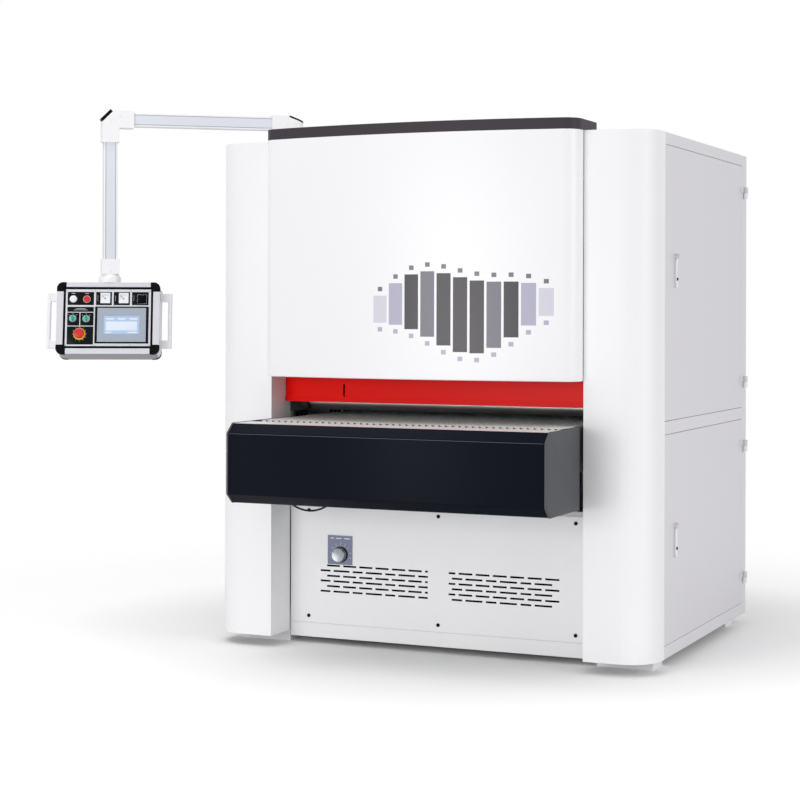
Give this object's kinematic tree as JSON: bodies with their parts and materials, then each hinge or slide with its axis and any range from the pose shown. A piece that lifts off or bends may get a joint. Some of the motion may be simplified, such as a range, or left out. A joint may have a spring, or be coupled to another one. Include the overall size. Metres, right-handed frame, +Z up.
{
  "type": "wide-belt wood sanding machine",
  "caption": "Cabinet-style wide-belt sander for flat boards, with a powered feed table, hinged side doors and a control box on a swivel arm",
  "frame": {"origin": "centre of the four floor anchor holes, at floor level", "axes": "+Z up, -Y towards the operator and the infeed, +X to the right seen from the infeed"},
  "size_m": [2.7527, 1.917, 2.3258],
  "materials": {
    "white_coat": "satin powder coat",
    "grey_coat": "satin grey coat",
    "door_coat": "satin light grey coat",
    "frame_coat": "light beige coat",
    "dark_trim": "dark brown-grey coat",
    "black_coat": "blue-black textured coat",
    "red_coat": "red coat",
    "blue_coat": "blue-grey machine coat",
    "bare_steel": "ground steel",
    "satin_alloy": "satin anodised",
    "black_plastic": "matte black",
    "white_plastic": "matte white",
    "red_plastic": "gloss red",
    "yellow_plastic": "gloss yellow",
    "teal_plastic": "gloss green-blue",
    "abrasive": "cloth-backed abrasive",
    "belt_rubber": "black rubber",
    "feed_rubber": "pale grey-green rubber"
  },
  "bodies": {
    "cabinet": {"base_frame": "frame_coat", "floor_feet": "bare_steel", "front_columns": "white_coat", "side_frames": "white_coat", "cabinet_panels": "white_coat", "head_front_panel": "white_coat", "head_top_trim": "dark_trim", "front_panels": "white_coat", "panel_screws": "black_plastic", "door_hinges": "white_coat", "head_frame": "grey_coat", "roller_bearings": "grey_coat", "tension_yokes": "blue_coat", "sanding_belts": "abrasive", "drive_belts": "belt_rubber", "main_motors": "blue_coat", "dust_hoods": "bare_steel", "lift_drive": "grey_coat", "pendant_pivot_base": "white_coat"},
    "drum_front": {"contact_drum_front": "bare_steel"},
    "drum_rear": {"contact_drum_rear": "bare_steel"},
    "top_roller_front": {"tension_roller_front": "bare_steel"},
    "top_roller_rear": {"tension_roller_rear": "bare_steel"},
    "pulley_front": {"motor_pulley_front": "bare_steel"},
    "pulley_rear": {"motor_pulley_rear": "bare_steel"},
    "press_in": {"pressure_roller_infeed": "bare_steel"},
    "press_out": {"pressure_roller_outfeed": "bare_steel"},
    "guard": {"infeed_guard": "red_coat"},
    "table": {"table_bed": "grey_coat", "feed_belt": "feed_rubber", "table_front_cover": "black_coat", "cover_end_plates": "grey_coat", "feed_gearmotor": "blue_coat", "table_cable": "black_plastic", "lift_screws": "bare_steel"},
    "feed_drive": {"feed_drive_roller": "bare_steel"},
    "feed_idler": {"feed_idler_roller": "bare_steel"},
    "door_up": {"upper_door": "door_coat"},
    "door_low": {"lower_door": "door_coat"},
    "latch_up": {"upper_latch": "white_coat"},
    "latch_low": {"lower_latch": "white_coat"},
    "knob": {"speed_knob": "satin_alloy"},
    "arm": {"pendant_elbows": "white_coat", "pendant_tubes": "white_coat", "elbow_caps": "black_plastic"},
    "box": {"box_swivel_mount": "white_coat", "box_frame": "satin_alloy", "box_corners": "black_plastic", "box_panel": "satin_alloy", "box_handles": "white_coat", "box_meters": "white_plastic", "hmi_unit": "black_plastic", "panel_collars": "yellow_plastic"},
    "push": {"red_button": "red_plastic"},
    "stop": {"estop_button": "red_plastic"},
    "sel_left": {"selector_left": "teal_plastic"},
    "sel_right": {"selector_right": "teal_plastic"},
    "rotary": {"rotary_switch": "black_plastic"},
    "pointer_left": {"needle_left": "black_plastic"},
    "pointer_right": {"needle_right": "black_plastic"}
  },
  "joints": [
    {"name": "table_lift", "type": "slide", "parent": "cabinet", "child": "table", "axis": [0, 0, 1], "range_m": [-0.135, 0.02]},
    {"name": "drum_front_spin", "type": "hinge", "parent": "cabinet", "child": "drum_front", "pos_m": [0, -0.341, 1.11], "axis": [1, 0, 0], "continuous": true},
    {"name": "top_roller_front_spin", "type": "hinge", "parent": "cabinet", "child": "top_roller_front", "pos_m": [0, -0.341, 1.896], "axis": [1, 0, 0], "continuous": true},
    {"name": "pulley_front_spin", "type": "hinge", "parent": "cabinet", "child": "pulley_front", "pos_m": [-0.85, -0.221, 0.26], "axis": [1, 0, 0], "continuous": true},
    {"name": "drum_rear_spin", "type": "hinge", "parent": "cabinet", "child": "drum_rear", "pos_m": [0, 0.179, 1.11], "axis": [1, 0, 0], "continuous": true},
    {"name": "top_roller_rear_spin", "type": "hinge", "parent": "cabinet", "child": "top_roller_rear", "pos_m": [0, 0.179, 1.896], "axis": [1, 0, 0], "continuous": true},
    {"name": "pulley_rear_spin", "type": "hinge", "parent": "cabinet", "child": "pulley_rear", "pos_m": [-0.85, 0.179, 0.26], "axis": [1, 0, 0], "continuous": true},
    {"name": "press_in_spin", "type": "hinge", "parent": "cabinet", "child": "press_in", "pos_m": [0, -0.521, 1.04], "axis": [1, 0, 0], "continuous": true},
    {"name": "press_out_spin", "type": "hinge", "parent": "cabinet", "child": "press_out", "pos_m": [0, 0.489, 1.04], "axis": [1, 0, 0], "continuous": true},
    {"name": "guard_swing", "type": "hinge", "parent": "cabinet", "child": "guard", "pos_m": [0, -0.691, 1.175], "axis": [1, 0, 0], "range_deg": [0, 20]},
    {"name": "feed_drive_spin", "type": "hinge", "parent": "table", "child": "feed_drive", "pos_m": [0, 0.469, 0.916], "axis": [1, 0, 0], "continuous": true},
    {"name": "feed_idler_spin", "type": "hinge", "parent": "table", "child": "feed_idler", "pos_m": [0, -0.971, 0.916], "axis": [1, 0, 0], "continuous": true},
    {"name": "upper_door_swing", "type": "hinge", "parent": "cabinet", "child": "door_up", "pos_m": [0.9935, 0.6345, 1.553], "axis": [0, 0, 1], "range_deg": [0, 110]},
    {"name": "lower_door_swing", "type": "hinge", "parent": "cabinet", "child": "door_low", "pos_m": [0.9935, 0.6345, 0.522], "axis": [0, 0, 1], "range_deg": [0, 110]},
    {"name": "upper_latch_lift", "type": "hinge", "parent": "door_up", "child": "latch_up", "pos_m": [0.9898, -0.505, 1.662], "axis": [0, -1, 0], "range_deg": [0, 60]},
    {"name": "lower_latch_lift", "type": "hinge", "parent": "door_low", "child": "latch_low", "pos_m": [0.9898, -0.501, 0.569], "axis": [0, -1, 0], "range_deg": [0, 60]},
    {"name": "speed_knob_turn", "type": "hinge", "parent": "cabinet", "child": "knob", "pos_m": [-0.4555, -0.645, 0.3886], "axis": [0, -1, 0], "range_deg": [-270, 0]},
    {"name": "arm_swivel", "type": "hinge", "parent": "cabinet", "child": "arm", "pos_m": [-0.841, -0.338, 2.281], "axis": [0, 0, 1], "range_deg": [-90, 45]},
    {"name": "box_swivel", "type": "hinge", "parent": "arm", "child": "box", "pos_m": [-1.49213, -0.85593, 1.597], "axis": [0, 0, 1], "range_deg": [-120, 120]},
    {"name": "push_press", "type": "slide", "parent": "box", "child": "push", "axis": [-0.4456, 0.8746, -0.1908], "range_m": [0, 0.004], "stiffness_N_per_m": 1500},
    {"name": "stop_press", "type": "slide", "parent": "box", "child": "stop", "axis": [-0.4456, 0.8746, -0.1908], "range_m": [0, 0.006]},
    {"name": "selector_left_turn", "type": "hinge", "parent": "box", "child": "sel_left", "pos_m": [-1.59664, -0.99003, 1.40097], "axis": [0.4456, -0.8746, 0.1908], "range_deg": [-45, 45]},
    {"name": "selector_right_turn", "type": "hinge", "parent": "box", "child": "sel_right", "pos_m": [-1.54398, -0.96342, 1.39999], "axis": [0.4456, -0.8746, 0.1908], "range_deg": [-45, 45]},
    {"name": "rotary_turn", "type": "hinge", "parent": "box", "child": "rotary", "pos_m": [-1.3359, -0.83876, 1.48539], "axis": [0.4456, -0.8746, 0.1908], "range_deg": [0, 90]},
    {"name": "needle_left_turn", "type": "hinge", "parent": "box", "child": "pointer_left", "pos_m": [-1.47866, -0.911, 1.48768], "axis": [0.4456, -0.8746, 0.1908], "range_deg": [-90, 0]},
    {"name": "needle_right_turn", "type": "hinge", "parent": "box", "child": "pointer_right", "pos_m": [-1.40738, -0.87469, 1.48768], "axis": [0.4456, -0.8746, 0.1908], "range_deg": [-90, 0]}
  ],
  "couplings": [
    {"joint": "top_roller_front_spin", "follows": "drum_front_spin", "ratio": 1},
    {"joint": "pulley_front_spin", "follows": "drum_front_spin", "ratio": 1},
    {"joint": "top_roller_rear_spin", "follows": "drum_rear_spin", "ratio": 1},
    {"joint": "pulley_rear_spin", "follows": "drum_rear_spin", "ratio": 1},
    {"joint": "feed_idler_spin", "follows": "feed_drive_spin", "ratio": 1}
  ]
}
